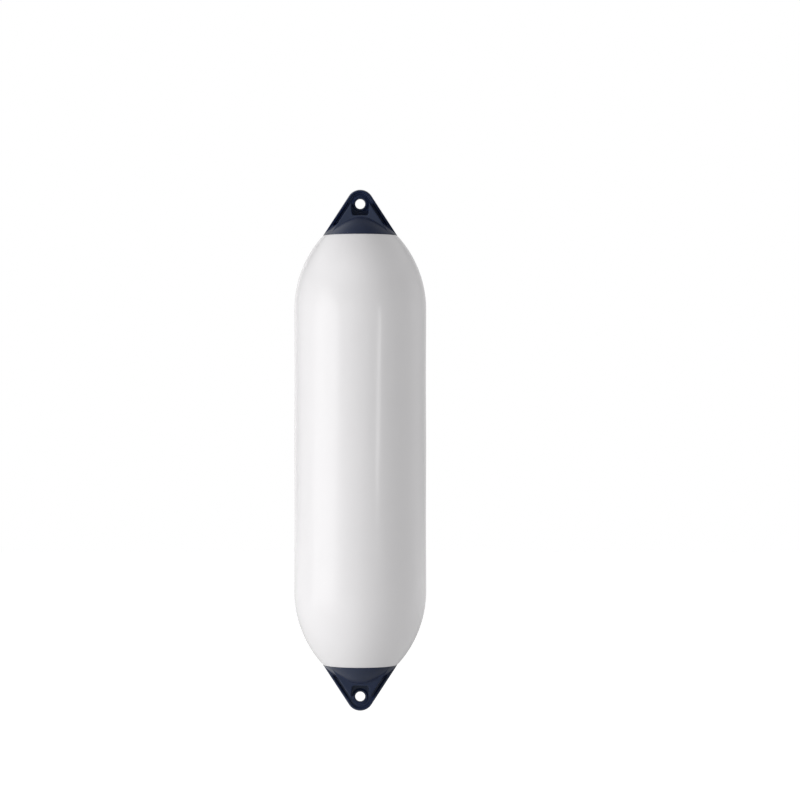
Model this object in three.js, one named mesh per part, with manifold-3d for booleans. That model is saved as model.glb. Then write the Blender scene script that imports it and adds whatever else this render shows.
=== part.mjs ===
// Boat fender: an inflated white vinyl body between two navy rope holds, each with an eye for the line.
// Millimetres. The fender is upright, as it hangs: +Z along its length, X across the flat lugs and
// Y through the eyes. The origin is the middle of the fender.
import * as THREE from "three";
import { mergeVertices } from "three/addons/utils/BufferGeometryUtils.js";
import Module from "manifold-3d";

const wasm = await Module();
wasm.setup();

// Body
const overallLength = 600;
const bodyDiameter = 152;
const bodyWall = 3;
const shoulderRadius = 126; // the arc that closes the barrel in, seen from the side
const neckDiameter = 85.5; // outside, where the body meets a rope hold

// Rope hold
const flankAngle = THREE.MathUtils.degToRad(33); // of the lug's straight sides, from the long axis
const tipRadius = 15.5; // the lug's round end
const webThickness = 7;
const rimThickness = 12.4;
const rimWidth = 3.4;
const rimRounding = 1.3;
const wedgeInset = 7.1; // from the lug's outline in to the wedge
const wedgeBaseThickness = 49.4;
const wedgeDraft = THREE.MathUtils.degToRad(18.3); // of the wedge's front and back
const recessDepth = 13.8; // from the eye's centre down to the recess floor
const recessFloorWidth = 19;
const recessDraft = THREE.MathUtils.degToRad(5); // of the recess sides
const recessCornerRadius = 2.5;

// Eye
const eyeDiameter = 11.5;
const eyeDrop = 1; // from the middle of the lug's round end down to the eye's centre
const eyeRounding = 1.2; // where the line runs over the mouth
const collarWidth = 2.8; // the raised ring round the eye
const collarThickness = 9;

// Spigot that the body is fused to, inside its neck
const spigotWall = 2.5;
const spigotLength = 12;
const cavityHeight = 14; // of the hollow under the dome, above the seam

// Valve, set square to the dome's back
const valveDistance = 31; // from the long axis
const insertBarrelDiameter = 9;
const insertFlangeDiameter = 13;
const insertFlangeThickness = 1.8;
const insertLength = 11; // below the flange
const valveBossWall = 3;
const valveBossDepth = 9.5; // below the dome's surface
const spotFaceDepth = 1;
const screwDiameter = 5;
const screwLength = 8;
const screwHeadDiameter = 9.4;
const screwHeadHeight = 2.4;
const slotWidth = 1.3;
const slotDepth = 1.2;
const sealWidth = 1.1;
const sealThickness = 1.2;

// Fits and facets
const fitGap = 0.3; // between pieces that touch
const toolMargin = 2; // by which a cutting shape runs past what it cuts
const roundFacets = 52;
const smallFacets = 24;
const shoulderSteps = 8;
const innerSteps = 5;
const filletSteps = 2;
const tipSteps = 14;

// Worked out from the sizes above
const bodyRadius = bodyDiameter / 2;
const neckRadius = neckDiameter / 2;
const tipCentreHeight = neckRadius / Math.tan(flankAngle) - tipRadius / Math.sin(flankAngle); // above the seam
const ropeHoldHeight = tipCentreHeight + tipRadius;
const eyeHeight = tipCentreHeight - eyeDrop;
const seamHeight = overallLength / 2 - ropeHoldHeight;
const arcCentreRadius = bodyRadius - shoulderRadius; // of the shoulder's arc, from the long axis
const seamAngle = Math.acos((neckRadius - arcCentreRadius) / shoulderRadius);
const shoulderHeight = shoulderRadius * Math.sin(seamAngle);
const seatHeight = fitGap / 2; // half the seam's gap belongs to each side
const cavityArcRadius = shoulderRadius - bodyWall - fitGap - spigotWall;

// Points of an arc in a profile, from one angle to another, both ends among them.
function arc(centreRadius, centreHeight, radius, from, to, steps) {
  return Array.from({ length: steps + 1 }, (_, i) => {
    const angle = from + ((to - from) * i) / steps;
    return new THREE.Vector2(
      centreRadius + radius * Math.cos(angle),
      centreHeight + radius * Math.sin(angle),
    );
  });
}

// A stretch of the shoulder's arc, or of one beside it, between two heights measured from the seam.
function shoulderArc(radius, fromHeight, toHeight, steps) {
  const angleAt = (height) => Math.asin((height + shoulderHeight) / radius);
  return arc(arcCentreRadius, -shoulderHeight, radius, angleAt(fromHeight), angleAt(toHeight), steps);
}

// A closed geometry as a solid that can be joined and cut.
function solid(geometry) {
  const bare = geometry.clone();
  bare.deleteAttribute("normal");
  bare.deleteAttribute("uv");
  const merged = mergeVertices(bare);
  const corners = merged.index.array;
  const triVerts = [];
  for (let i = 0; i < corners.length; i += 3) {
    const [a, b, c] = corners.slice(i, i + 3);
    if (a !== b && b !== c && c !== a) triVerts.push(a, b, c);
  }
  return new wasm.Manifold(
    new wasm.Mesh({
      numProp: 3,
      vertProperties: merged.attributes.position.array,
      triVerts: new Uint32Array(triVerts),
    }),
  );
}

// A solid as a named mesh.
function piece(name, shape, material) {
  const { vertProperties, triVerts } = shape.getMesh();
  const geometry = new THREE.BufferGeometry();
  geometry.setAttribute("position", new THREE.BufferAttribute(vertProperties, 3));
  geometry.setIndex(new THREE.BufferAttribute(triVerts, 1));
  geometry.computeVertexNormals();
  const mesh = new THREE.Mesh(geometry, material);
  mesh.name = name;
  return mesh;
}

// A profile of radius and height turned about Z.
function turned(profile, facets = roundFacets) {
  return new THREE.LatheGeometry(profile, facets).rotateX(Math.PI / 2);
}

// A profile of radius and depth turned about the eye, which runs along Y.
function turnedAboutEye(profile) {
  return new THREE.LatheGeometry(profile, smallFacets).translate(0, 0, eyeHeight);
}

// An outline in X and Z made into a plate of a thickness in Y, centred on the lug's middle plane.
function plate(outline, thickness, rounding = 0) {
  return new THREE.ExtrudeGeometry(outline, {
    depth: thickness - 2 * rounding,
    bevelEnabled: rounding > 0,
    bevelThickness: rounding,
    bevelSize: rounding,
    bevelOffset: -rounding,
    bevelSegments: filletSteps,
    curveSegments: tipSteps,
  })
    .translate(0, 0, rounding - thickness / 2)
    .rotateX(Math.PI / 2);
}

// The white skin: one wall from neck to neck, open at both.
function bodyShape() {
  const outer = shoulderArc(shoulderRadius, -shoulderHeight, -seatHeight, shoulderSteps);
  const innerRadius = shoulderRadius - bodyWall;
  const inner = [
    ...shoulderArc(innerRadius, -shoulderHeight, -spigotLength, innerSteps),
    ...shoulderArc(innerRadius, -spigotLength, -seatHeight, filletSteps).slice(1),
  ];
  const raised = (points) => points.map((p) => new THREE.Vector2(p.x, p.y + seamHeight));
  const lowered = (points) => raised(points).map((p) => new THREE.Vector2(p.x, -p.y));
  const profile = [
    ...lowered(outer).reverse(),
    ...raised(outer),
    ...raised(inner).reverse(),
    ...lowered(inner),
  ];
  profile.push(profile[0]);
  return solid(turned(profile));
}

// The lug's outline, moved in by an inset, from a foot height up to the round end.
function lugOutline(inset, foot) {
  const radius = tipRadius - inset;
  const footHalfWidth = neckRadius - foot * Math.tan(flankAngle) - inset / Math.cos(flankAngle);
  const outline = new THREE.Shape();
  outline.moveTo(-footHalfWidth, foot);
  outline.lineTo(footHalfWidth, foot);
  outline.absarc(0, tipCentreHeight, radius, flankAngle, Math.PI - flankAngle, false);
  outline.closePath();
  return outline;
}

// Nothing of the rope hold stands outside this cone with its round tip.
function envelope() {
  const tip = arc(0, tipCentreHeight, tipRadius, flankAngle, Math.PI / 2, innerSteps * 2);
  const foot = new THREE.Vector2(neckRadius - seatHeight * Math.tan(flankAngle), seatHeight);
  return solid(turned([new THREE.Vector2(0, seatHeight), foot, ...tip]));
}

// The dome that carries on the body's shoulder.
function dome() {
  const crown = shoulderRadius * Math.sin(Math.acos(-arcCentreRadius / shoulderRadius)) - shoulderHeight;
  const surface = shoulderArc(shoulderRadius, seatHeight, crown, shoulderSteps);
  surface[surface.length - 1].x = 0;
  return solid(turned([new THREE.Vector2(0, seatHeight), ...surface]));
}

// The wedge: inside the lug's outline, with a front and a back that lean in towards the eye.
function wedge() {
  const halfAt = (height) => wedgeBaseThickness / 2 - height * Math.tan(wedgeDraft);
  const top = ropeHoldHeight;
  const section = new THREE.Shape();
  section.moveTo(-halfAt(0), 0);
  section.lineTo(halfAt(0), 0);
  section.lineTo(halfAt(top), top);
  section.lineTo(-halfAt(top), top);
  section.closePath();
  const alongX = new THREE.Matrix4().makeBasis(
    new THREE.Vector3(0, 1, 0),
    new THREE.Vector3(0, 0, 1),
    new THREE.Vector3(1, 0, 0),
  );
  const leaning = new THREE.ExtrudeGeometry(section, { depth: neckDiameter, bevelEnabled: false })
    .translate(0, 0, -neckRadius)
    .applyMatrix4(alongX);
  return solid(plate(lugOutline(wedgeInset, seatHeight), wedgeBaseThickness)).intersect(solid(leaning));
}

// What the recess below the eye takes away, in front of the web and behind it.
function recess() {
  const floor = eyeHeight - recessDepth;
  const top = ropeHoldHeight;
  const halfAt = (height) => recessFloorWidth / 2 + (height - floor) * Math.tan(recessDraft);
  const r = recessCornerRadius;
  const outline = new THREE.Shape();
  outline.moveTo(halfAt(top), top);
  outline.lineTo(-halfAt(top), top);
  outline.lineTo(-halfAt(floor + r), floor + r);
  outline.quadraticCurveTo(-halfAt(floor), floor, r - halfAt(floor), floor);
  outline.lineTo(halfAt(floor) - r, floor);
  outline.quadraticCurveTo(halfAt(floor), floor, halfAt(floor + r), floor + r);
  outline.closePath();
  const through = solid(plate(outline, wedgeBaseThickness));
  return through.subtract(solid(plate(lugOutline(0, 0), webThickness)));
}

// The bead that follows the lug's outline.
function rim() {
  const full = solid(plate(lugOutline(0, -toolMargin), rimThickness, rimRounding));
  return full.subtract(solid(plate(lugOutline(rimWidth, -2 * toolMargin), rimThickness + toolMargin)));
}

// The raised ring round the eye.
function collar() {
  const radius = eyeDiameter / 2 + collarWidth;
  const half = collarThickness / 2;
  return solid(
    turnedAboutEye([
      new THREE.Vector2(0, -half),
      new THREE.Vector2(radius, -half),
      new THREE.Vector2(radius, half),
      new THREE.Vector2(0, half),
    ]),
  );
}

// What the eye takes away, with a rounded mouth at each side.
function eye() {
  const radius = eyeDiameter / 2;
  const half = collarThickness / 2;
  const out = rimThickness / 2 + toolMargin;
  const mouth = arc(radius + eyeRounding, half - eyeRounding, eyeRounding, Math.PI, Math.PI / 2, filletSteps);
  const farSide = mouth.map((p) => new THREE.Vector2(p.x, -p.y)).reverse();
  return solid(
    turnedAboutEye([
      new THREE.Vector2(0, -out),
      new THREE.Vector2(radius + eyeRounding, -out),
      ...farSide,
      ...mouth,
      new THREE.Vector2(radius + eyeRounding, out),
      new THREE.Vector2(0, out),
    ]),
  );
}

// The flared ring inside the body's neck, before the cavity is cut.
function spigot() {
  const top = seatHeight + spigotWall / 2;
  const outer = shoulderArc(cavityArcRadius + spigotWall, -spigotLength, top, filletSteps);
  const inner = shoulderArc(cavityArcRadius - toolMargin, -spigotLength, top, filletSteps);
  const profile = [...outer, ...inner.reverse()];
  profile.push(profile[0]);
  return solid(turned(profile));
}

// The hollow under the dome, open to the inside of the body.
function cavity() {
  const low = -spigotLength - toolMargin;
  return solid(
    turned([
      new THREE.Vector2(0, low),
      ...shoulderArc(cavityArcRadius, low, cavityHeight, innerSteps),
      new THREE.Vector2(0, cavityHeight),
    ]),
  );
}

// Where the valve's axis leaves the dome, and how far it leans from +Z towards +Y.
function valvePlace() {
  const outwards = valveDistance - arcCentreRadius;
  const height = Math.sqrt(shoulderRadius ** 2 - outwards ** 2) - shoulderHeight;
  return { height, lean: Math.asin(outwards / shoulderRadius) };
}

// A profile turned about the valve's axis, placed on the dome.
function onValveAxis(profile) {
  const { height, lean } = valvePlace();
  return turned(profile, smallFacets).rotateX(-lean).translate(0, valveDistance, height);
}

// A plain disc on the valve's axis, between two depths.
function valveDisc(radius, low, high) {
  return solid(
    onValveAxis([
      new THREE.Vector2(0, low),
      new THREE.Vector2(radius, low),
      new THREE.Vector2(radius, high),
      new THREE.Vector2(0, high),
    ]),
  );
}

// One rope hold, its seam at height 0 and its tip up.
function ropeHoldShape(withValve) {
  const core = dome().add(wedge()).subtract(recess());
  const web = solid(plate(lugOutline(0, seatHeight), webThickness));
  const lug = core.add(web).add(rim()).add(collar()).intersect(envelope());
  const hollow = lug.add(spigot()).subtract(cavity());
  const withEye = hollow.subtract(eye());
  if (!withValve) return withEye;
  const boreRadius = insertBarrelDiameter / 2 + fitGap;
  const boss = valveDisc(boreRadius + valveBossWall, -valveBossDepth, -bodyWall);
  const bore = valveDisc(boreRadius, -valveBossDepth - toolMargin, 0);
  const spotFace = valveDisc(insertFlangeDiameter / 2 + fitGap, -spotFaceDepth, toolMargin);
  return withEye.add(boss).subtract(bore).subtract(spotFace);
}

// Heights on the valve's own axis, from the dome's surface.
const flangeLow = fitGap - spotFaceDepth;
const flangeTop = flangeLow + insertFlangeThickness;
const sealLow = flangeTop - sealThickness / 2;
const sealTop = sealLow + sealThickness;
const headLow = sealTop + fitGap;
const screwRadius = screwDiameter / 2;
const sealRadius = screwRadius + fitGap + sealWidth;

// The flanged bush, with a seat for the seal in its face.
function insertShape() {
  const bore = screwRadius + fitGap;
  const seat = sealLow - fitGap;
  const seatRadius = sealRadius + fitGap;
  const profile = [
    [bore, flangeLow - insertLength],
    [insertBarrelDiameter / 2, flangeLow - insertLength],
    [insertBarrelDiameter / 2, flangeLow],
    [insertFlangeDiameter / 2, flangeLow],
    [insertFlangeDiameter / 2, flangeTop],
    [seatRadius, flangeTop],
    [seatRadius, seat],
    [bore, seat],
    [bore, flangeLow - insertLength],
  ].map(([radius, height]) => new THREE.Vector2(radius, height));
  return solid(turned(profile, smallFacets));
}

function sealShape() {
  const middle = screwRadius + fitGap + sealWidth / 2;
  const profile = [
    [middle - sealWidth / 2, sealLow],
    [middle + sealWidth / 2, sealLow],
    [middle + sealWidth / 2, sealTop],
    [middle - sealWidth / 2, sealTop],
    [middle - sealWidth / 2, sealLow],
  ].map(([radius, height]) => new THREE.Vector2(radius, height));
  return solid(turned(profile, smallFacets));
}

// The plug screw, with a domed head and a slot.
function screwShape() {
  const headRadius = screwHeadDiameter / 2;
  const edge = headLow + screwHeadHeight / 2;
  const profile = [
    [0, headLow - screwLength],
    [screwRadius, headLow - screwLength],
    [screwRadius, headLow],
    [headRadius, headLow],
    [headRadius, edge],
    [headRadius - screwHeadHeight / 2, headLow + screwHeadHeight],
    [0, headLow + screwHeadHeight],
  ].map(([radius, height]) => new THREE.Vector2(radius, height));
  const slot = new THREE.BoxGeometry(screwHeadDiameter + toolMargin, slotWidth, 2 * slotDepth);
  slot.translate(0, 0, headLow + screwHeadHeight);
  return solid(turned(profile, smallFacets)).subtract(solid(slot));
}

const whiteVinyl = () => new THREE.MeshStandardMaterial({ color: 0xf1f0f1, roughness: 0.3, metalness: 0 });
const navyVinyl = () => new THREE.MeshStandardMaterial({ color: 0x1c2338, roughness: 0.36, metalness: 0 });
const greyNylon = () => new THREE.MeshStandardMaterial({ color: 0x2b2d33, roughness: 0.45, metalness: 0 });
const blackRubber = () => new THREE.MeshStandardMaterial({ color: 0x141414, roughness: 0.8, metalness: 0 });
const brass = () => new THREE.MeshStandardMaterial({ color: 0xb08d4f, roughness: 0.35, metalness: 1 });

const upperEnd = new THREE.Group();
upperEnd.position.z = seamHeight;
upperEnd.add(piece("upper_rope_hold", ropeHoldShape(true), navyVinyl()));

const valve = new THREE.Group();
valve.position.set(0, valveDistance, valvePlace().height);
valve.rotation.x = -valvePlace().lean;
valve.add(piece("valve_insert", insertShape(), greyNylon()));
valve.add(piece("valve_seal", sealShape(), blackRubber()));
valve.add(piece("valve_screw", screwShape(), brass()));
upperEnd.add(valve);

const lowerEnd = new THREE.Group();
lowerEnd.position.z = -seamHeight;
lowerEnd.rotation.y = Math.PI;
lowerEnd.add(piece("lower_rope_hold", ropeHoldShape(false), navyVinyl()));

const fender = new THREE.Group();
fender.add(piece("body", bodyShape(), whiteVinyl()), upperEnd, lowerEnd);

export default fender;
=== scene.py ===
"""An inflated vinyl boat fender, hung upright: a white blown body between two navy rope holds.

Metres. +Z runs along the fender, X across the flat lugs, Y through the eyes, and the front is at -Y.
"""

import math

import bmesh
import bpy
from mathutils import Matrix, Vector


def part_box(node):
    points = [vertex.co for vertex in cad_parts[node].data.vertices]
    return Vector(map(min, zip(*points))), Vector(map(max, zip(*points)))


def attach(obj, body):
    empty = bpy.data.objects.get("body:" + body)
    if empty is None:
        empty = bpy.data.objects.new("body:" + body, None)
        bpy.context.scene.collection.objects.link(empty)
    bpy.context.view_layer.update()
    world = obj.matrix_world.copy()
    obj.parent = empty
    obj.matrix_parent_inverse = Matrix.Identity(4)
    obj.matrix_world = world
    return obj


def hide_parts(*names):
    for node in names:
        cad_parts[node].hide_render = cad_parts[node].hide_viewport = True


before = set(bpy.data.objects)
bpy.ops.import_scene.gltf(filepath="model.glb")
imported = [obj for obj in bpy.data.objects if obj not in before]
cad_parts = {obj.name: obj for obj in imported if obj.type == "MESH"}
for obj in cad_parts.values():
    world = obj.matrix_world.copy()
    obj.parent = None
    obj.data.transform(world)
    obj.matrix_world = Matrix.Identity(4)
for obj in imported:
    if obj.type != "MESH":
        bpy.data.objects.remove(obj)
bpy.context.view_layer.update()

MM = 0.001

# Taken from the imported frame
BODY_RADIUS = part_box("body")[1][0]
TIP_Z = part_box("upper_rope_hold")[1][2]

# The body's and the rope holds' own sizes
BODY_WALL = 3.0 * MM
SHOULDER_RADIUS = 126.0 * MM
NECK_RADIUS = 42.75 * MM
FLANK_ANGLE = math.radians(33.0)
TIP_RADIUS = 15.5 * MM
WEB_THICKNESS = 7.0 * MM
RIM_THICKNESS = 12.4 * MM
RIM_WIDTH = 3.4 * MM
WEDGE_INSET = 7.1 * MM
WEDGE_BASE_THICKNESS = 49.4 * MM
WEDGE_DRAFT = math.radians(18.3)
RECESS_DEPTH = 13.8 * MM
RECESS_FLOOR_WIDTH = 19.0 * MM
RECESS_DRAFT = math.radians(5.0)
RECESS_CORNER = 2.5 * MM
EYE_RADIUS = 5.75 * MM
EYE_DROP = 1.0 * MM
COLLAR_WIDTH = 2.8 * MM
COLLAR_THICKNESS = 9.0 * MM
SEAM_GAP = 0.04 * MM

# Worked out from those
TIP_CENTRE_HEIGHT = NECK_RADIUS / math.tan(FLANK_ANGLE) - TIP_RADIUS / math.sin(FLANK_ANGLE)
HOLD_HEIGHT = TIP_CENTRE_HEIGHT + TIP_RADIUS
EYE_HEIGHT = TIP_CENTRE_HEIGHT - EYE_DROP
SEAM_Z = TIP_Z - HOLD_HEIGHT
ARC_CENTRE = BODY_RADIUS - SHOULDER_RADIUS
SEAM_ANGLE = math.acos((NECK_RADIUS - ARC_CENTRE) / SHOULDER_RADIUS)
SHOULDER_HEIGHT = SHOULDER_RADIUS * math.sin(SEAM_ANGLE)
BARREL_HALF = SEAM_Z - SHOULDER_HEIGHT
SEAT = SEAM_GAP / 2

# The valve, set square to the back of the upper dome
VALVE_DISTANCE = 31.0 * MM
VALVE_LEAN = math.asin((VALVE_DISTANCE - ARC_CENTRE) / SHOULDER_RADIUS)
VALVE_HEIGHT = SHOULDER_RADIUS * math.cos(VALVE_LEAN) - SHOULDER_HEIGHT
INSERT_BARREL_RADIUS = 4.5 * MM
INSERT_FLANGE_RADIUS = 6.5 * MM
INSERT_FLANGE_THICKNESS = 1.8 * MM
INSERT_LENGTH = 11.0 * MM
SPOT_FACE_DEPTH = 1.0 * MM
SCREW_RADIUS = 2.5 * MM
SCREW_LENGTH = 8.0 * MM
SCREW_HEAD_RADIUS = 4.7 * MM
SCREW_HEAD_HEIGHT = 2.4 * MM
SLOT_WIDTH = 1.3 * MM
SLOT_DEPTH = 1.2 * MM
SEAL_WIDTH = 1.1 * MM
SEAL_THICKNESS = 1.2 * MM
FIT = 0.3 * MM

# Steps of the small roundings in a profile
ROUNDING_STEPS = 6

# Heights on the valve's own axis, from the dome's surface
FLANGE_LOW = FIT - SPOT_FACE_DEPTH
FLANGE_TOP = FLANGE_LOW + INSERT_FLANGE_THICKNESS
SEAL_MIDDLE = FLANGE_TOP
HEAD_LOW = SEAL_MIDDLE + SEAL_THICKNESS / 2 + FIT


# Camera

PHOTO_SIZE = 800
OBJECT_CENTRE_PX = (360.2, 450.2)
CAMERA_DISTANCE = 3.6
CAMERA_HEIGHT = 0.06
SENSOR = 36.0
LENS = 140.64


def add_camera():
    """A level camera a little above the middle, its frame shifted to put the fender where it is seen."""
    height_px = CAMERA_HEIGHT / CAMERA_DISTANCE * LENS / SENSOR * PHOTO_SIZE
    data = bpy.data.cameras.new("camera")
    data.sensor_fit = "HORIZONTAL"
    data.sensor_width = SENSOR
    data.lens = LENS
    data.shift_x = (PHOTO_SIZE / 2 - OBJECT_CENTRE_PX[0]) / PHOTO_SIZE
    data.shift_y = (OBJECT_CENTRE_PX[1] - height_px - PHOTO_SIZE / 2) / PHOTO_SIZE
    camera = bpy.data.objects.new("camera", data)
    camera.location = (0.0, -CAMERA_DISTANCE, CAMERA_HEIGHT)
    camera.rotation_euler = (math.pi / 2, 0.0, 0.0)
    bpy.context.scene.collection.objects.link(camera)
    bpy.context.scene.camera = camera


# Mesh helpers

ON_AXIS = 1e-9
SHARP_ANGLE = math.radians(40)
SMOOTHING = 0.5


def arc(centre_r, centre_z, radius, start, end, steps):
    """Points of an arc in a profile of radius and height, both ends among them."""
    points = []
    for i in range(steps + 1):
        angle = start + (end - start) * i / steps
        points.append((centre_r + radius * math.cos(angle), centre_z + radius * math.sin(angle)))
    return points


def rounded(corner_r, corner_z, radius, start, steps=ROUNDING_STEPS):
    """A quarter-round in a profile, given the centre of its arc."""
    return arc(corner_r, corner_z, radius, start, start + math.pi / 2, steps)


def shoulder_arc(radius, low, high, steps):
    """A stretch of the shoulder's arc, or of one beside it, between two heights above the seam."""
    start = math.asin((low + SHOULDER_HEIGHT) / radius)
    end = math.asin((high + SHOULDER_HEIGHT) / radius)
    return arc(ARC_CENTRE, -SHOULDER_HEIGHT, radius, start, end, steps)


def link_mesh(name, bm):
    """Makes an object of a bmesh, which is used up."""
    bmesh.ops.recalc_face_normals(bm, faces=bm.faces)
    mesh = bpy.data.meshes.new(name)
    bm.to_mesh(mesh)
    bm.free()
    piece = bpy.data.objects.new(name, mesh)
    bpy.context.scene.collection.objects.link(piece)
    return piece


def turned(name, profile, facets, closed=False):
    """A profile of radius and height turned about Z. A profile that isn't closed ends on the axis."""
    bm = bmesh.new()
    rings = []
    for radius, height in profile:
        if radius < ON_AXIS:
            rings.append([bm.verts.new((0.0, 0.0, height))])
            continue
        ring = []
        for i in range(facets):
            angle = 2 * math.pi * i / facets
            ring.append(bm.verts.new((radius * math.cos(angle), radius * math.sin(angle), height)))
        rings.append(ring)
    pairs = list(zip(rings, rings[1:]))
    if closed:
        pairs.append((rings[-1], rings[0]))
    for low, high in pairs:
        for i in range(facets):
            j = (i + 1) % facets
            corners = [low[i % len(low)], low[j % len(low)], high[j % len(high)], high[i % len(high)]]
            bm.faces.new(list(dict.fromkeys(corners)))
    return link_mesh(name, bm)


def plate(name, outline, thickness):
    """An outline in X and Z made into a plate of a thickness in Y, centred on the lug's middle plane."""
    bm = bmesh.new()
    front = [bm.verts.new((x, -thickness / 2, z)) for x, z in outline]
    back = [bm.verts.new((x, thickness / 2, z)) for x, z in outline]
    bm.faces.new(front)
    bm.faces.new(back[::-1])
    for i in range(len(outline)):
        j = (i + 1) % len(outline)
        bm.faces.new((front[j], front[i], back[i], back[j]))
    return link_mesh(name, bm)


def settled(piece):
    """Applies a piece's modifiers to its mesh."""
    graph = bpy.context.evaluated_depsgraph_get()
    mesh = bpy.data.meshes.new_from_object(piece.evaluated_get(graph))
    old = piece.data
    piece.modifiers.clear()
    piece.data = mesh
    mesh.name = piece.name
    bpy.data.meshes.remove(old)


def combine(piece, tool, operation):
    """Joins, cuts or trims a piece with a tool, which is used up."""
    step = piece.modifiers.new(operation.lower(), "BOOLEAN")
    step.operation = operation
    step.solver = "EXACT"
    step.object = tool
    settled(piece)
    bpy.data.objects.remove(tool)
    return piece


def softened(piece, voxel, passes, kept):
    """Gives a cut and joined piece the small fillets of a moulding, then smooth shading."""
    remesh = piece.modifiers.new("remesh", "REMESH")
    remesh.mode = "VOXEL"
    remesh.voxel_size = voxel
    smooth = piece.modifiers.new("smooth", "SMOOTH")
    smooth.factor = SMOOTHING
    smooth.iterations = passes
    fewer = piece.modifiers.new("fewer_faces", "DECIMATE")
    fewer.ratio = kept
    settled(piece)
    smooth_shading(piece)
    return piece


def smooth_shading(piece):
    """Shades every face of a piece smooth."""
    for face in piece.data.polygons:
        face.use_smooth = True


def eased_faces(piece):
    """Smooth shading that stops at edges sharper than an eased corner's steps."""
    smooth_shading(piece)
    bm = bmesh.new()
    bm.from_mesh(piece.data)
    for edge in bm.edges:
        if len(edge.link_faces) == 2 and edge.calc_face_angle(0.0) > SHARP_ANGLE:
            edge.smooth = False
    bm.to_mesh(piece.data)
    bm.free()
    return piece


def cut_level(piece, height):
    """Cuts a piece off flat at a height, keeps what is above and closes it with a sharp-edged face."""
    bm = bmesh.new()
    bm.from_mesh(piece.data)
    everything = bm.verts[:] + bm.edges[:] + bm.faces[:]
    cut = bmesh.ops.bisect_plane(
        bm, geom=everything, plane_co=(0, 0, height), plane_no=(0, 0, 1), clear_inner=True,
    )
    edges = [part for part in cut["geom_cut"] if isinstance(part, bmesh.types.BMEdge)]
    for edge in edges:
        edge.smooth = False
    bmesh.ops.holes_fill(bm, edges=edges)
    bm.to_mesh(piece.data)
    bm.free()


def joined(piece, other):
    """Puts another mesh into a piece as a shell of its own; the other is used up."""
    bm = bmesh.new()
    bm.from_mesh(piece.data)
    bm.from_mesh(other.data)
    bm.to_mesh(piece.data)
    bm.free()
    bpy.data.objects.remove(other)
    return piece


def finish_piece(piece, node, material):
    """Gives a piece its material, hangs it from the root body and hides the solid of the frame that it stands
    in for.
    """
    piece.data.materials.clear()
    piece.data.materials.append(material)
    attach(piece, "root")
    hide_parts(node)


# Body

BODY_FACETS = 192
BARREL_STEPS = 64
SHOULDER_STEPS = 48
INNER_STEPS = 16
LIP_STEPS = 5
BARREL_SLACK = 0.3 * MM
LIP_ROUNDING = 0.5 * MM


def body_skin():
    """The blown skin, one wall from neck to neck, its barrel a touch slacker at the quarter points."""
    outer = shoulder_arc(SHOULDER_RADIUS, -SHOULDER_HEIGHT, -SEAT, SHOULDER_STEPS)
    shoulder = [(r, z + SEAM_Z) for r, z in outer]
    inside = shoulder_arc(SHOULDER_RADIUS - BODY_WALL, -SHOULDER_HEIGHT, -SEAT, INNER_STEPS)
    inner = [(r, z + SEAM_Z) for r, z in inside]
    edge_r, edge_z = shoulder.pop()
    lip_r = edge_r - LIP_ROUNDING
    lip_z = edge_z - LIP_ROUNDING
    lip = arc(lip_r, lip_z, LIP_ROUNDING, SEAM_ANGLE, math.pi / 2, LIP_STEPS)
    outer_top = shoulder[1:-1] + lip
    barrel = []
    for i in range(BARREL_STEPS + 1):
        z = BARREL_HALF * (2 * i / BARREL_STEPS - 1)
        slack = BARREL_SLACK * math.sin(math.pi * abs(z) / BARREL_HALF) ** 2
        barrel.append((BODY_RADIUS - slack, z))
    mirrored = [(r, -z) for r, z in outer_top][::-1]
    inner_loop = inner[::-1] + [(r, -z) for r, z in inner]
    profile = mirrored + barrel + outer_top + inner_loop
    piece = turned("body_skin", profile, BODY_FACETS, closed=True)
    smooth_shading(piece)
    return piece


# Rope holds

HOLD_FACETS = 160
EYE_FACETS = 96
TIP_STEPS = 48
DOME_STEPS = 30
ENVELOPE_STEPS = 16
FILLET_VOXEL = 0.4 * MM
FILLET_PASSES = 12
KEPT_FACES = 0.6
FOOT = 3.0 * MM
LUG_FOOT = 3.6 * MM
RIM_FOOT = 4.3 * MM
ENVELOPE_FOOT = 2.5 * MM
MARGIN = 2.0 * MM
PLUG_DEPTH = 4.0 * MM
EYE_ROUNDING = 1.2 * MM


def lug_outline(inset, foot):
    """The lug's outline moved in by an inset, from a foot height up round the tip."""
    half = NECK_RADIUS - foot * math.tan(FLANK_ANGLE) - inset / math.cos(FLANK_ANGLE)
    far = math.pi - FLANK_ANGLE
    tip = arc(0.0, TIP_CENTRE_HEIGHT, TIP_RADIUS - inset, FLANK_ANGLE, far, TIP_STEPS)
    return [(-half, foot), (half, foot)] + tip


def about_eye(piece):
    """Turns a piece made about Z so that it runs through the eye along Y."""
    level = Matrix.Rotation(math.pi / 2, 4, "X")
    piece.data.transform(Matrix.Translation((0, 0, EYE_HEIGHT)) @ level)
    return piece


def dome():
    """The dome that carries on the body's shoulder, from the foot to its crown on the axis."""
    crown = math.acos(-ARC_CENTRE / SHOULDER_RADIUS)
    start = math.asin((SHOULDER_HEIGHT - FOOT) / SHOULDER_RADIUS)
    surface = arc(ARC_CENTRE, -SHOULDER_HEIGHT, SHOULDER_RADIUS, start, crown, DOME_STEPS)
    surface[-1] = (0.0, surface[-1][1])
    return turned("dome", [(0.0, -FOOT)] + surface, HOLD_FACETS)


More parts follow.
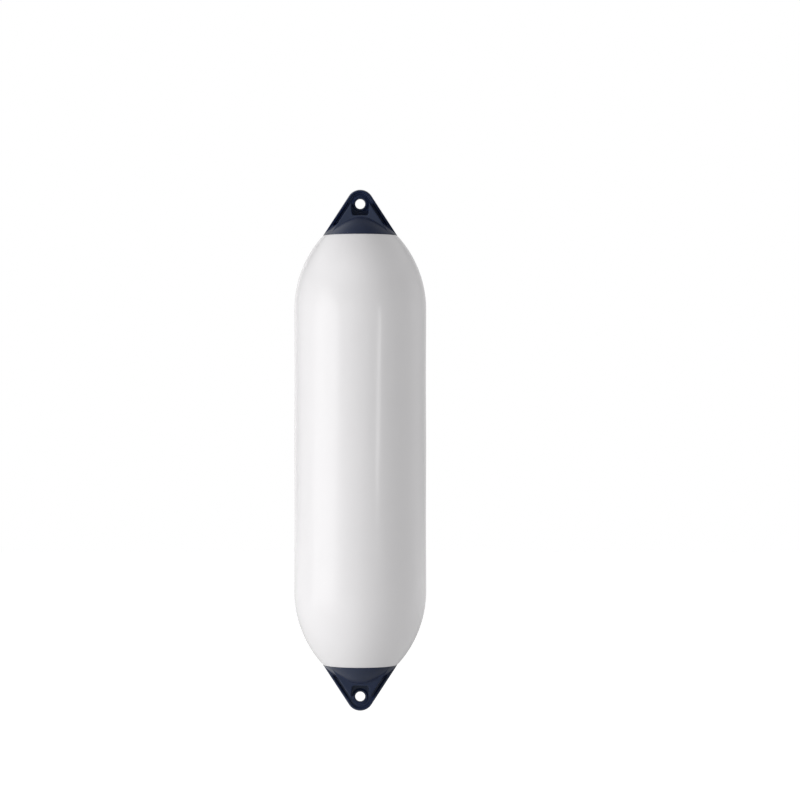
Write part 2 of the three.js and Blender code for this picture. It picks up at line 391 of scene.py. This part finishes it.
def wedge():
    """The wedge inside the lug's outline, its front and its back leaning in towards the eye."""

    def half_at(height):
        return WEDGE_BASE_THICKNESS / 2 - height * math.tan(WEDGE_DRAFT)

    piece = plate("wedge", lug_outline(WEDGE_INSET, -FOOT), WEDGE_BASE_THICKNESS + 2 * MARGIN)
    low, high = half_at(-FOOT), half_at(HOLD_HEIGHT)
    bm = bmesh.new()
    ends = []
    for x in (-NECK_RADIUS, NECK_RADIUS):
        corners = ((x, -low, -FOOT), (x, low, -FOOT), (x, high, HOLD_HEIGHT), (x, -high, HOLD_HEIGHT))
        ends.append([bm.verts.new(corner) for corner in corners])
    bm.faces.new(ends[0])
    bm.faces.new(ends[1][::-1])
    for i in range(4):
        j = (i + 1) % 4
        bm.faces.new((ends[0][i], ends[0][j], ends[1][j], ends[1][i]))
    return combine(piece, link_mesh("leaning", bm), "INTERSECT")


def recess():
    """The space round the eye and below it that the wedge leaves free; the web is added in it later."""
    floor = EYE_HEIGHT - RECESS_DEPTH

    def half_at(height):
        return RECESS_FLOOR_WIDTH / 2 + (height - floor) * math.tan(RECESS_DRAFT)

    corner = rounded(half_at(floor) - RECESS_CORNER, floor + RECESS_CORNER, RECESS_CORNER, -math.pi / 2)
    right = corner + [(half_at(HOLD_HEIGHT), HOLD_HEIGHT)]
    left = [(-x, z) for x, z in right][::-1]
    return plate("recess", right + left, WEDGE_BASE_THICKNESS)


def rim():
    """The bead that follows the lug's outline."""
    piece = plate("rim", lug_outline(0.0, -RIM_FOOT), RIM_THICKNESS)
    inner = plate("rim_inside", lug_outline(RIM_WIDTH, -2 * RIM_FOOT), RIM_THICKNESS + MARGIN)
    return combine(piece, inner, "DIFFERENCE")


def collar():
    """The raised ring round the eye."""
    radius = EYE_RADIUS + COLLAR_WIDTH
    half = COLLAR_THICKNESS / 2
    profile = [(0, -half), (radius, -half), (radius, half), (0, half)]
    return about_eye(turned("collar", profile, EYE_FACETS))


def eye_space():
    """What the eye takes away, with a rounded mouth at each side."""
    radius = EYE_RADIUS
    half = COLLAR_THICKNESS / 2
    out = RIM_THICKNESS / 2 + MARGIN
    wide = radius + EYE_ROUNDING
    mouth = arc(wide, half - EYE_ROUNDING, EYE_ROUNDING, math.pi, math.pi / 2, ROUNDING_STEPS)
    far = [(r, -z) for r, z in mouth][::-1]
    profile = [(0, -out), (wide, -out)] + far + mouth + [(wide, out), (0, out)]
    return about_eye(turned("eye_space", profile, EYE_FACETS))


def envelope():
    """The cone with a round tip that nothing of a rope hold stands outside."""
    tip = arc(0.0, TIP_CENTRE_HEIGHT, TIP_RADIUS, FLANK_ANGLE, math.pi / 2, ENVELOPE_STEPS)
    tip[-1] = (0.0, tip[-1][1])
    foot_radius = NECK_RADIUS + ENVELOPE_FOOT * math.tan(FLANK_ANGLE)
    foot = [(0.0, -ENVELOPE_FOOT), (foot_radius, -ENVELOPE_FOOT)]
    return turned("envelope", foot + tip, HOLD_FACETS)


def hold_moulding(name, with_valve):
    """A rope hold with its seam at height 0 and its tip up, and a plug in the body's neck."""
    core = combine(dome(), wedge(), "UNION")
    combine(core, recess(), "DIFFERENCE")
    if with_valve:
        combine(core, valve_space(), "DIFFERENCE")
    lug = plate("lug", lug_outline(0.0, -LUG_FOOT), WEB_THICKNESS)
    combine(lug, rim(), "UNION")
    combine(lug, collar(), "UNION")
    combine(lug, eye_space(), "DIFFERENCE")
    combine(lug, envelope(), "INTERSECT")
    moulding = softened(joined(core, lug), FILLET_VOXEL, FILLET_PASSES, KEPT_FACES)
    cut_level(moulding, SEAT)
    plug_radius = NECK_RADIUS - BODY_WALL - 2 * FIT
    plug_top = FOOT / 2
    plug = [(0, -PLUG_DEPTH), (plug_radius, -PLUG_DEPTH), (plug_radius, plug_top), (0, plug_top)]
    joined(moulding, turned("plug", plug, HOLD_FACETS))
    moulding.name = name
    return moulding


# Valve

VALVE_FACETS = 96
THREAD_PITCH = 0.8 * MM
THREAD_DEPTH = 0.35 * MM
RINGS_A_TURN = 8
SEAL_STEPS = 24
CROWN_STEPS = 12
SLOT_EDGE = 0.12 * MM
SLOT_EDGE_STEPS = 2
SLOT_EDGE_ANGLE = math.radians(50)


def on_valve_axis(piece):
    """Moves a piece made about Z to the valve's axis, on a rope hold with its seam at height 0."""
    lean = Matrix.Rotation(-VALVE_LEAN, 4, "X")
    piece.data.transform(Matrix.Translation((0, VALVE_DISTANCE, VALVE_HEIGHT)) @ lean)
    return piece


def valve_space():
    """The bore and the spot face that the insert is set in."""
    bore = INSERT_BARREL_RADIUS + FIT
    face = INSERT_FLANGE_RADIUS + FIT
    low = FLANGE_LOW - INSERT_LENGTH - FIT
    step = -SPOT_FACE_DEPTH
    high = 2 * MARGIN
    profile = [(0, low), (bore, low), (bore, step), (face, step), (face, high), (0, high)]
    return on_valve_axis(turned("valve_space", profile, VALVE_FACETS))


def insert_bush():
    """The flanged bush, its edges eased, with the seal's seat in its face."""
    ease = 0.5 * MM
    lip = 0.2 * MM
    bore = SCREW_RADIUS + FIT
    seat = FLANGE_TOP - SEAL_THICKNESS / 2 - FIT
    seat_radius = bore + SEAL_WIDTH + FIT
    low = FLANGE_LOW - INSERT_LENGTH
    profile = [(bore, low)]
    profile += rounded(INSERT_BARREL_RADIUS - ease, low + ease, ease, -math.pi / 2)
    profile += [(INSERT_BARREL_RADIUS, FLANGE_LOW)]
    profile += rounded(INSERT_FLANGE_RADIUS - lip, FLANGE_LOW + lip, lip, -math.pi / 2)
    profile += rounded(INSERT_FLANGE_RADIUS - ease, FLANGE_TOP - ease, ease, 0.0)
    profile += rounded(seat_radius + lip, FLANGE_TOP - lip, lip, math.pi / 2)
    profile += [(seat_radius, seat), (bore, seat)]
    return eased_faces(turned("insert_bush", profile, VALVE_FACETS, closed=True))


def seal_ring():
    """The sealing ring, pressed out a little between the insert and the screw's head."""
    middle = SCREW_RADIUS + FIT + SEAL_WIDTH / 2
    half_width = SEAL_WIDTH / 2 + FIT / 2
    half_height = SEAL_THICKNESS / 2 + FIT
    profile = []
    for i in range(SEAL_STEPS):
        angle = 2 * math.pi * i / SEAL_STEPS
        radius = middle + half_width * math.cos(angle)
        profile.append((radius, SEAL_MIDDLE + half_height * math.sin(angle)))
    piece = turned("seal_ring", profile, VALVE_FACETS, closed=True)
    smooth_shading(piece)
    return piece


def threaded_shank(low, high):
    """A shank whose rings rise by one pitch a turn, so that its ridge is a true thread."""
    bm = bmesh.new()
    rings = []
    count = round((high - low) / THREAD_PITCH * RINGS_A_TURN)
    for k in range(count + 1):
        z = low + (high - low) * k / count
        ring = []
        for i in range(VALVE_FACETS):
            turn = i / VALVE_FACETS
            phase = ((z - low) / THREAD_PITCH - turn) % 1.0
            ridge = 1.0 - abs(2.0 * phase - 1.0)
            start = min(1.0, (z - low) / THREAD_PITCH)
            radius = SCREW_RADIUS - THREAD_DEPTH * (1.0 - ridge * start)
            angle = 2 * math.pi * turn
            ring.append(bm.verts.new((radius * math.cos(angle), radius * math.sin(angle), z)))
        rings.append(ring)
    for lower_ring, upper_ring in zip(rings, rings[1:]):
        for i in range(VALVE_FACETS):
            j = (i + 1) % VALVE_FACETS
            bm.faces.new((lower_ring[i], lower_ring[j], upper_ring[j], upper_ring[i]))
    bm.faces.new(rings[0][::-1])
    bm.faces.new(rings[-1])
    return link_mesh("shank", bm)


def plug_screw():
    """The slotted screw: a low domed head on a threaded shank."""
    lip = 0.25 * MM
    top = HEAD_LOW + SCREW_HEAD_HEIGHT
    shoulder = HEAD_LOW + SCREW_HEAD_HEIGHT / 2
    half_crown = SCREW_HEAD_RADIUS - SCREW_HEAD_HEIGHT / 2
    profile = [(0.0, HEAD_LOW)]
    profile += rounded(SCREW_HEAD_RADIUS - lip, HEAD_LOW + lip, lip, -math.pi / 2)
    profile += rounded(half_crown, shoulder, SCREW_HEAD_HEIGHT / 2, 0.0, CROWN_STEPS)
    profile += [(0.0, top)]
    head = turned("head", profile, VALVE_FACETS)
    bm = bmesh.new()
    bmesh.ops.create_cube(bm, size=1.0)
    slot_size = Vector((2 * SCREW_HEAD_RADIUS + MARGIN, SLOT_WIDTH, 2 * SLOT_DEPTH))
    bmesh.ops.scale(bm, vec=slot_size, verts=bm.verts)
    bmesh.ops.translate(bm, vec=(0, 0, top), verts=bm.verts)
    combine(head, link_mesh("slot", bm), "DIFFERENCE")
    ease = head.modifiers.new("slot_edges", "BEVEL")
    ease.width = SLOT_EDGE
    ease.segments = SLOT_EDGE_STEPS
    ease.limit_method = "ANGLE"
    ease.angle_limit = SLOT_EDGE_ANGLE
    settled(head)
    shank = threaded_shank(HEAD_LOW - SCREW_LENGTH, HEAD_LOW + SCREW_HEAD_HEIGHT / 4)
    joined(head, shank)
    head.name = "plug_screw"
    eased_faces(head)
    even = head.modifiers.new("even_normals", "WEIGHTED_NORMAL")
    even.keep_sharp = True
    settled(head)
    return head


# Materials

def calc(tree, operation, *operands):
    """A Math node; each operand is a number or the socket that feeds it."""
    node = tree.nodes.new("ShaderNodeMath")
    node.operation = operation
    for socket, operand in zip(node.inputs, operands):
        if isinstance(operand, bpy.types.NodeSocket):
            tree.links.new(operand, socket)
        else:
            socket.default_value = operand
    return node.outputs[0]


def ramp(tree, value, start, end, at_start, at_end):
    """A soft change from one value to another while the input goes from start up to end."""
    node = tree.nodes.new("ShaderNodeMapRange")
    node.interpolation_type = "SMOOTHSTEP"
    tree.links.new(value, node.inputs["Value"])
    node.inputs["From Min"].default_value = start
    node.inputs["From Max"].default_value = end
    node.inputs["To Min"].default_value = at_start
    node.inputs["To Max"].default_value = at_end
    return node.outputs["Result"]


def mixed_colour(tree, share, first, second):
    """A Mix node for colours; each colour is four numbers or the socket that feeds it."""
    node = tree.nodes.new("ShaderNodeMix")
    node.data_type = "RGBA"
    tree.links.new(share, node.inputs["Factor"])
    for name, colour in (("A", first), ("B", second)):
        socket = next(s for s in node.inputs if s.name == name and s.type == "RGBA")
        if isinstance(colour, bpy.types.NodeSocket):
            tree.links.new(colour, socket)
        else:
            socket.default_value = colour
    return next(s for s in node.outputs if s.type == "RGBA")


def noise(tree, place, size, detail):
    """Noise with features of about a size in metres, given as a number or a socket."""
    node = tree.nodes.new("ShaderNodeTexNoise")
    node.inputs["Detail"].default_value = detail
    tree.links.new(place, node.inputs["Vector"])
    tree.links.new(calc(tree, "DIVIDE", 1.0, size), node.inputs["Scale"])
    return node.outputs["Fac"]


def new_group(name, inputs, outputs):
    """An empty node group with its sockets: inputs as (name, kind, default), outputs as (name, kind)."""
    group = bpy.data.node_groups.new(name, "ShaderNodeTree")
    for socket_name, kind, default in inputs:
        socket = group.interface.new_socket(name=socket_name, in_out="INPUT", socket_type=kind)
        socket.default_value = default
    for socket_name, kind in outputs:
        group.interface.new_socket(name=socket_name, in_out="OUTPUT", socket_type=kind)
    given = group.nodes.new("NodeGroupInput").outputs
    result = group.nodes.new("NodeGroupOutput").inputs
    return group, given, result


FLOAT = "NodeSocketFloat"
COLOUR = "NodeSocketColor"
VECTOR = "NodeSocketVector"
WHITE = (1.0, 1.0, 1.0, 1.0)


def moulded_skin_group():
    """Cloudy colour, uneven gloss, fine grain and slow waves: what a mould leaves in vinyl or nylon."""
    group, given, result = new_group(
        "Moulded skin",
        [
            ("Colour", COLOUR, WHITE),
            ("Cloud colour", COLOUR, WHITE),
            ("Cloud size", FLOAT, 0.05),
            ("Cloud amount", FLOAT, 0.5),
            ("Roughness", FLOAT, 0.35),
            ("Roughness swing", FLOAT, 0.08),
            ("Grain size", FLOAT, 0.001),
            ("Wave size", FLOAT, 0.03),
        ],
        [("Colour", COLOUR), ("Roughness", FLOAT), ("Grain", FLOAT), ("Wave", FLOAT)],
    )
    links = group.links
    place = group.nodes.new("ShaderNodeTexCoord").outputs["Object"]
    cloud = noise(group, place, given["Cloud size"], 3.0)
    share = calc(group, "MULTIPLY", cloud, given["Cloud amount"])
    links.new(mixed_colour(group, share, given["Colour"], given["Cloud colour"]), result["Colour"])
    off_middle = calc(group, "SUBTRACT", cloud, 0.5)
    roughness = calc(group, "MULTIPLY_ADD", off_middle, given["Roughness swing"], given["Roughness"])
    links.new(roughness, result["Roughness"])
    links.new(noise(group, place, given["Grain size"], 2.0), result["Grain"])
    links.new(noise(group, place, given["Wave size"], 1.0), result["Wave"])
    return group


def parting_line_group():
    """A fine raised line where the mould's halves met, in the plane of the lugs."""
    group, given, result = new_group("Parting line", [("Half width", FLOAT, 0.0004)], [("Line", FLOAT)])
    split = group.nodes.new("ShaderNodeSeparateXYZ")
    group.links.new(group.nodes.new("ShaderNodeTexCoord").outputs["Object"], split.inputs[0])
    distance = calc(group, "ABSOLUTE", split.outputs["Y"])
    near = calc(group, "DIVIDE", distance, given["Half width"])
    group.links.new(ramp(group, near, 0.0, 1.0, 1.0, 0.0), result["Line"])
    return group


# Where the edge colour (wear, and on the navy painted shade) starts and is full, as Blender's pointiness, and
# where its patches do, in their noise
EDGE_SPAN = (0.54, 0.62)
PATCH_SPAN = (0.35, 0.65)
LEAST_PATCH = 0.2


def edge_wear_and_shade_group():
    """Edges in their own colour, broken up so that it comes and goes: wear that handling has rubbed, and on
    the navy painted shade.
    """
    group, given, result = new_group(
        "Edge wear and shade",
        [
            ("Colour", COLOUR, WHITE),
            ("Edge colour", COLOUR, WHITE),
            ("Roughness", FLOAT, 0.35),
            ("Worn roughness", FLOAT, 0.5),
            ("Amount", FLOAT, 0.5),
            ("Patch size", FLOAT, 0.004),
        ],
        [("Colour", COLOUR), ("Roughness", FLOAT)],
    )
    edge = group.nodes.new("ShaderNodeNewGeometry").outputs["Pointiness"]
    place = group.nodes.new("ShaderNodeTexCoord").outputs["Object"]
    broken = noise(group, place, given["Patch size"], 3.0)
    patches = ramp(group, broken, *PATCH_SPAN, LEAST_PATCH, 1.0)
    # Edge mask: wear on most materials, painted shade on the navy's rims and edges
    edge_mask = calc(group, "MULTIPLY", ramp(group, edge, *EDGE_SPAN, 0.0, 1.0), patches)
    share = calc(group, "MULTIPLY", edge_mask, given["Amount"])
    group.links.new(mixed_colour(group, share, given["Colour"], given["Edge colour"]), result["Colour"])
    change = calc(group, "SUBTRACT", given["Worn roughness"], given["Roughness"])
    group.links.new(calc(group, "MULTIPLY_ADD", change, share, given["Roughness"]), result["Roughness"])
    return group


def turned_marks_group():
    """Fine rings about the valve's axis, as a lathe leaves them on metal."""
    group, given, result = new_group(
        "Turned marks",
        [("Place", VECTOR, (0.0, 0.0, 0.0)), ("Lean", FLOAT, 0.0), ("Ring width", FLOAT, 0.0002)],
        [("Rings", FLOAT)],
    )
    links = group.links
    offset = group.nodes.new("ShaderNodeVectorMath")
    offset.operation = "SUBTRACT"
    links.new(group.nodes.new("ShaderNodeTexCoord").outputs["Object"], offset.inputs[0])
    links.new(given["Place"], offset.inputs[1])
    upright = group.nodes.new("ShaderNodeVectorRotate")
    upright.rotation_type = "X_AXIS"
    links.new(offset.outputs[0], upright.inputs["Vector"])
    links.new(given["Lean"], upright.inputs["Angle"])
    split = group.nodes.new("ShaderNodeSeparateXYZ")
    links.new(upright.outputs[0], split.inputs[0])
    x_squared = calc(group, "POWER", split.outputs["X"], 2.0)
    y_squared = calc(group, "POWER", split.outputs["Y"], 2.0)
    radius_squared = calc(group, "ADD", x_squared, y_squared)
    rings = group.nodes.new("ShaderNodeTexNoise")
    rings.noise_dimensions = "1D"
    rings.inputs["Scale"].default_value = 1.0
    rings.inputs["Detail"].default_value = 2.0
    along = calc(group, "DIVIDE", calc(group, "SQRT", radius_squared), given["Ring width"])
    links.new(along, rings.inputs["W"])
    links.new(rings.outputs["Fac"], result["Rings"])
    return group


def base_material(name, slot_values):
    """A material with one Principled shader and the constants on its sockets."""
    material = bpy.data.materials.new(name)
    material.use_nodes = True
    shader = material.node_tree.nodes["Principled BSDF"]
    for socket, value in slot_values.items():
        shader.inputs[socket].default_value = value
    return material, shader


def place_group(tree, group, values):
    """A node group in a material; a value is a number, a colour or the socket that feeds it."""
    node = tree.nodes.new("ShaderNodeGroup")
    node.node_tree = group
    for name, value in values.items():
        if isinstance(value, bpy.types.NodeSocket):
            tree.links.new(value, node.inputs[name])
        else:
            node.inputs[name].default_value = value
    return node.outputs


def add_relief(tree, shader, layers):
    """Raises the surface by the sum of its layers, each a socket and its height in millimetres."""
    height = 0.0
    for socket, tall in layers:
        height = calc(tree, "MULTIPLY_ADD", socket, tall, height)
    bump = tree.nodes.new("ShaderNodeBump")
    bump.inputs["Distance"].default_value = MM
    tree.links.new(height, bump.inputs["Height"])
    tree.links.new(bump.outputs["Normal"], shader.inputs["Normal"])


def worn_and_shaded_surface(tree, shader, groups, skin, wear_and_shade):
    """Colour and roughness from the skin and its edges, worn, and on the navy darkened as painted shade;
    gives back the skin's sockets for the relief.
    """
    surface = place_group(tree, groups["skin"], skin)
    own = {"Colour": surface["Colour"], "Roughness": surface["Roughness"]}
    look = place_group(tree, groups["wear_and_shade"], {**wear_and_shade, **own})
    tree.links.new(look["Colour"], shader.inputs["Base Color"])
    tree.links.new(look["Roughness"], shader.inputs["Roughness"])
    return surface


def moulded_material(name, groups, skin, wear_and_shade, slot_values, grain=0.0, wave=0.0, line=0.0):
    """Something moulded, with the heights of its grain, waves and parting line in millimetres."""
    material, shader = base_material(name, slot_values)
    tree = material.node_tree
    surface = worn_and_shaded_surface(tree, shader, groups, skin, wear_and_shade)
    layers = [(surface["Grain"], grain), (surface["Wave"], wave)]
    if line:
        layers.append((place_group(tree, groups["line"], {})["Line"], line))
    add_relief(tree, shader, layers)
    return material


def white_vinyl(groups):
    skin = {
        "Colour": (0.88, 0.868, 0.876, 1.0),
        "Cloud colour": (0.85, 0.838, 0.85, 1.0),
        "Cloud size": 60 * MM,
        "Cloud amount": 0.6,
        "Roughness": 0.17,
        "Roughness swing": 0.05,
        "Grain size": 0.9 * MM,
        "Wave size": 35 * MM,
    }
    wear_and_shade = {
        "Edge colour": (0.80, 0.79, 0.79, 1.0),
        "Worn roughness": 0.35,
        "Amount": 0.4,
        "Patch size": 12 * MM,
    }
    return moulded_material("white_vinyl", groups, skin, wear_and_shade, {}, grain=0.004, wave=0.03, line=0.05)


def navy_vinyl(groups):
    skin = {
        "Colour": (0.0038, 0.0095, 0.040, 1.0),
        "Cloud colour": (0.006, 0.0135, 0.050, 1.0),
        "Cloud size": 12 * MM,
        "Cloud amount": 0.6,
        "Roughness": 0.30,
        "Roughness swing": 0.1,
        "Grain size": 0.8 * MM,
        "Wave size": 9 * MM,
    }
    # Painted shade: the darker edge colour darkens the navy's rims, tip and other sharp edges as shade would,
    # not as wear.
    wear_and_shade = {
        "Edge colour": (0.004, 0.006, 0.018, 1.0),
        "Worn roughness": 0.24,
        "Amount": 0.6,
        "Patch size": 4 * MM,
    }
    gloss = {"Specular IOR Level": 0.62, "Specular Tint": (0.80, 0.91, 1.0, 1.0)}
    return moulded_material("navy_vinyl", groups, skin, wear_and_shade, gloss, grain=0.008, wave=0.02, line=0.05)


def valve_nylon(groups):
    skin = {
        "Colour": (0.024, 0.026, 0.033, 1.0),
        "Cloud colour": (0.035, 0.037, 0.044, 1.0),
        "Cloud size": 3 * MM,
        "Cloud amount": 0.6,
        "Roughness": 0.42,
        "Roughness swing": 0.15,
        "Grain size": 0.25 * MM,
        "Wave size": 4 * MM,
    }
    wear_and_shade = {
        "Edge colour": (0.10, 0.10, 0.11, 1.0),
        "Worn roughness": 0.6,
        "Amount": 0.5,
        "Patch size": 1.5 * MM,
    }
    return moulded_material("valve_nylon", groups, skin, wear_and_shade, {}, grain=0.006, wave=0.01)


def valve_rubber(groups):
    skin = {
        "Colour": (0.012, 0.012, 0.012, 1.0),
        "Cloud colour": (0.022, 0.021, 0.02, 1.0),
        "Cloud size": 2 * MM,
        "Cloud amount": 0.7,
        "Roughness": 0.72,
        "Roughness swing": 0.2,
        "Grain size": 0.15 * MM,
        "Wave size": 2 * MM,
    }
    wear_and_shade = {
        "Edge colour": (0.03, 0.03, 0.03, 1.0),
        "Worn roughness": 0.85,
        "Amount": 0.3,
        "Patch size": 1 * MM,
    }
    return moulded_material("valve_rubber", groups, skin, wear_and_shade, {}, grain=0.004, wave=0.004)


def valve_brass(groups):
    """Turned brass with a thin tarnish in patches, rubbed bright at the slot and the rim."""
    material, shader = base_material("valve_brass", {"Metallic": 1.0})
    skin = {
        "Colour": (0.62, 0.44, 0.18, 1.0),
        "Cloud colour": (0.38, 0.25, 0.10, 1.0),
        "Cloud size": 2.5 * MM,
        "Cloud amount": 0.8,
        "Roughness": 0.32,
        "Roughness swing": 0.25,
        "Grain size": 0.2 * MM,
        "Wave size": 3 * MM,
    }
    wear_and_shade = {
        "Edge colour": (0.78, 0.60, 0.30, 1.0),
        "Worn roughness": 0.22,
        "Amount": 0.8,
        "Patch size": 1 * MM,
    }
    tree = material.node_tree
    surface = worn_and_shaded_surface(tree, shader, groups, skin, wear_and_shade)
    where = {
        "Place": (0.0, VALVE_DISTANCE, SEAM_Z + VALVE_HEIGHT),
        "Lean": VALVE_LEAN,
        "Ring width": 0.12 * MM,
    }
    rings = place_group(tree, groups["rings"], where)
    add_relief(tree, shader, [(rings["Rings"], 0.006), (surface["Grain"], 0.004)])
    return material


# Lights, floor and background

FLOOR_Z = -0.46
FLOOR_SIZE = 14.0
FLOOR_COLOUR = (0.82, 0.82, 0.82, 1.0)
# Painted dark reflection: the floor takes this colour only where reflections see it, at the right.
RIGHT_REFLECTION_PAINTED_SHADE = (0.4, 0.4, 0.4, 1.0)
FLOOR_LIFT = 0.62

# Shares of the lift that reflections see, and the metres in X or Y over which each changes
LEFT_FLOOR_SHARE = 0.3
BACK_FLOOR_SHARE = 0.6
LEFT_FLOOR_SPAN = (-0.25, 0.1)
BACK_FLOOR_SPAN = (0.3, 3.0)
RIGHT_REFLECTION_SHADE_SPAN = (-0.1, 0.2)


def area_light(name, place, width, height, power, aim_height=0.0, mirrored=True):
    """A soft lamp aimed at the fender's axis; one that isn't mirrored leaves no streak."""
    data = bpy.data.lights.new(name, "AREA")
    data.shape = "RECTANGLE"
    data.size = width
    data.size_y = height
    data.energy = power
    lamp = bpy.data.objects.new(name, data)
    lamp.location = place
    lamp.rotation_euler = (Vector((0.0, 0.0, aim_height)) - Vector(place)).to_track_quat("-Z", "Z").to_euler()
    lamp.visible_glossy = mirrored
    bpy.context.scene.collection.objects.link(lamp)
    return lamp


def around(azimuth, distance, height):
    """A place seen from the object: azimuth 0 is the camera's side, and positive is to the right."""
    angle = math.radians(azimuth)
    return (distance * math.sin(angle), -distance * math.cos(angle), height)


def add_lights():
    """Two soft lamps at the left, a slim one at the right for the streak, and a fill behind at the right."""
    area_light("left_softbox", around(-63, 1.9, -0.05), width=1.4, height=1.5, power=7.2)
    area_light("left_key", around(-54, 1.9, 0.0), width=1.0, height=1.5, power=16.8, mirrored=False)
    area_light("right_strip", around(31, 1.6, 0.05), width=0.10, height=0.34, power=0.6, aim_height=0.03)
    area_light("right_fill", around(120, 2.4, 0.2), width=1.2, height=1.2, power=14.8, mirrored=False)


# Levels of the surroundings: what lights the surfaces, then what reflections see
AMBIENT_LOW = 0.49
AMBIENT_HIGH = 0.47
BACK_LEFT_LEVEL = 0.9
BACK_RIGHT_LEVEL = 0.5
TOP_LEFT_LEVEL = 1.0
TOP_RIGHT_LEVEL = 0.35
ZENITH_LEVEL = 0.4
DARK_LEVEL = 0.05

# The parts of a direction along X, Y or Z over which those levels change
AMBIENT_SPAN = (-0.6, 0.8)
BACK_SIDE_SPAN = (-0.4, 0.4)
BACK_EDGE_SPAN = (0.75, 0.95)
TOP_SIDE_SPAN = (-0.25, 0.5)
TOP_EDGE_SPAN = (0.35, 0.6)
ZENITH_SPAN = (0.75, 0.98)


def ray_kinds(tree):
    """Whether a ray comes from the camera, and whether it is a reflected or transmitted one."""
    path = tree.nodes.new("ShaderNodeLightPath")
    reflected = calc(tree, "MAXIMUM", path.outputs["Is Glossy Ray"], path.outputs["Is Transmission Ray"])
    return path.outputs["Is Camera Ray"], reflected


def add_world():
    """White to the camera, soft grey light on surfaces, and in reflections a pale back and top, else dark."""
    world = bpy.data.worlds.new("studio")
    world.use_nodes = True
    bpy.context.scene.world = world
    tree = world.node_tree
    background = tree.nodes["Background"]
    background.inputs["Color"].default_value = WHITE
    split = tree.nodes.new("ShaderNodeSeparateXYZ")
    tree.links.new(tree.nodes.new("ShaderNodeTexCoord").outputs["Generated"], split.inputs[0])
    ambient = ramp(tree, split.outputs["Z"], *AMBIENT_SPAN, AMBIENT_LOW, AMBIENT_HIGH)
    back_side = ramp(tree, split.outputs["X"], *BACK_SIDE_SPAN, BACK_LEFT_LEVEL, BACK_RIGHT_LEVEL)
    back_edge = ramp(tree, split.outputs["Y"], *BACK_EDGE_SPAN, 0.0, 1.0)
    back = calc(tree, "MULTIPLY", back_edge, back_side)
    sweep = calc(tree, "MAXIMUM", back, DARK_LEVEL)
    top_side = ramp(tree, split.outputs["X"], *TOP_SIDE_SPAN, TOP_LEFT_LEVEL, TOP_RIGHT_LEVEL)
    top_edge = ramp(tree, split.outputs["Z"], *TOP_EDGE_SPAN, 0.0, 1.0)
    zenith = ramp(tree, split.outputs["Z"], *ZENITH_SPAN, 1.0, ZENITH_LEVEL)
    top = calc(tree, "MULTIPLY", calc(tree, "MULTIPLY", top_edge, zenith), top_side)
    camera, reflected = ray_kinds(tree)
    seen_level = calc(tree, "MAXIMUM", camera, calc(tree, "MAXIMUM", sweep, top))
    level = tree.nodes.new("ShaderNodeMix")
    tree.links.new(calc(tree, "MAXIMUM", camera, reflected), level.inputs["Factor"])
    tree.links.new(ambient, level.inputs["A"])
    tree.links.new(seen_level, level.inputs["B"])
    tree.links.new(level.outputs["Result"], background.inputs["Strength"])


def add_floor():
    """A pale floor that keeps the fender's shadow, runs into the white and is clear from below; reflections
    see its right side darker, a painted dark reflection.
    """
    bm = bmesh.new()
    half = FLOOR_SIZE / 2
    corners = ((-half, -half), (half, -half), (half, half), (-half, half))
    bm.faces.new([bm.verts.new((x, y, FLOOR_Z)) for x, y in corners])
    floor = link_mesh("floor", bm)
    material, shader = base_material("pale_floor", {"Roughness": 0.9})
    tree = material.node_tree
    split = tree.nodes.new("ShaderNodeSeparateXYZ")
    tree.links.new(tree.nodes.new("ShaderNodeTexCoord").outputs["Object"], split.inputs[0])
    camera, reflected = ray_kinds(tree)
    left = ramp(tree, split.outputs["X"], *LEFT_FLOOR_SPAN, LEFT_FLOOR_SHARE, 0.0)
    back = ramp(tree, split.outputs["Y"], *BACK_FLOOR_SPAN, 0.0, BACK_FLOOR_SHARE)
    share = calc(tree, "MAXIMUM", left, back)
    # Painted dark reflection: reflected rays see the floor darker at the right
    shade_at_right = ramp(tree, split.outputs["X"], *RIGHT_REFLECTION_SHADE_SPAN, 0.0, 1.0)
    right = calc(tree, "MULTIPLY", reflected, shade_at_right)
    colour = mixed_colour(tree, right, FLOOR_COLOUR, RIGHT_REFLECTION_PAINTED_SHADE)
    tree.links.new(colour, shader.inputs["Base Color"])
    seen = calc(tree, "MAXIMUM", camera, calc(tree, "MULTIPLY", reflected, share))
    shader.inputs["Emission Color"].default_value = WHITE
    tree.links.new(calc(tree, "MULTIPLY", seen, FLOOR_LIFT), shader.inputs["Emission Strength"])
    one_sided = tree.nodes.new("ShaderNodeMixShader")
    tree.links.new(tree.nodes.new("ShaderNodeNewGeometry").outputs["Backfacing"], one_sided.inputs["Fac"])
    tree.links.new(shader.outputs[0], one_sided.inputs[1])
    tree.links.new(tree.nodes.new("ShaderNodeBsdfTransparent").outputs[0], one_sided.inputs[2])
    tree.links.new(one_sided.outputs[0], tree.nodes["Material Output"].inputs["Surface"])
    floor.data.materials.append(material)


# The scene

bpy.context.scene.view_settings.view_transform = "Standard"
add_camera()
add_lights()
add_world()
add_floor()

groups = {
    "skin": moulded_skin_group(),
    "line": parting_line_group(),
    "wear_and_shade": edge_wear_and_shade_group(),
    "rings": turned_marks_group(),
}
finish_piece(body_skin(), "body", white_vinyl(groups))

navy = navy_vinyl(groups)
at_top = Matrix.Translation((0, 0, SEAM_Z))
at_bottom = Matrix.Rotation(math.pi, 4, "Y") @ at_top
for end, place, with_valve in (("upper", at_top, True), ("lower", at_bottom, False)):
    moulding = hold_moulding(f"{end}_hold_moulding", with_valve)
    moulding.data.transform(place)
    finish_piece(moulding, f"{end}_rope_hold", navy)

valve_pieces = (
    (insert_bush, "valve_insert", valve_nylon, "valve_nylon"),
    (seal_ring, "valve_seal", valve_rubber, "valve_rubber"),
    (plug_screw, "valve_screw", valve_brass, "valve_brass"),
)
for make, node, finish, slot in valve_pieces:
    valve_piece = on_valve_axis(make())
    valve_piece.data.transform(at_top)
    finish_piece(valve_piece, node, finish(groups))
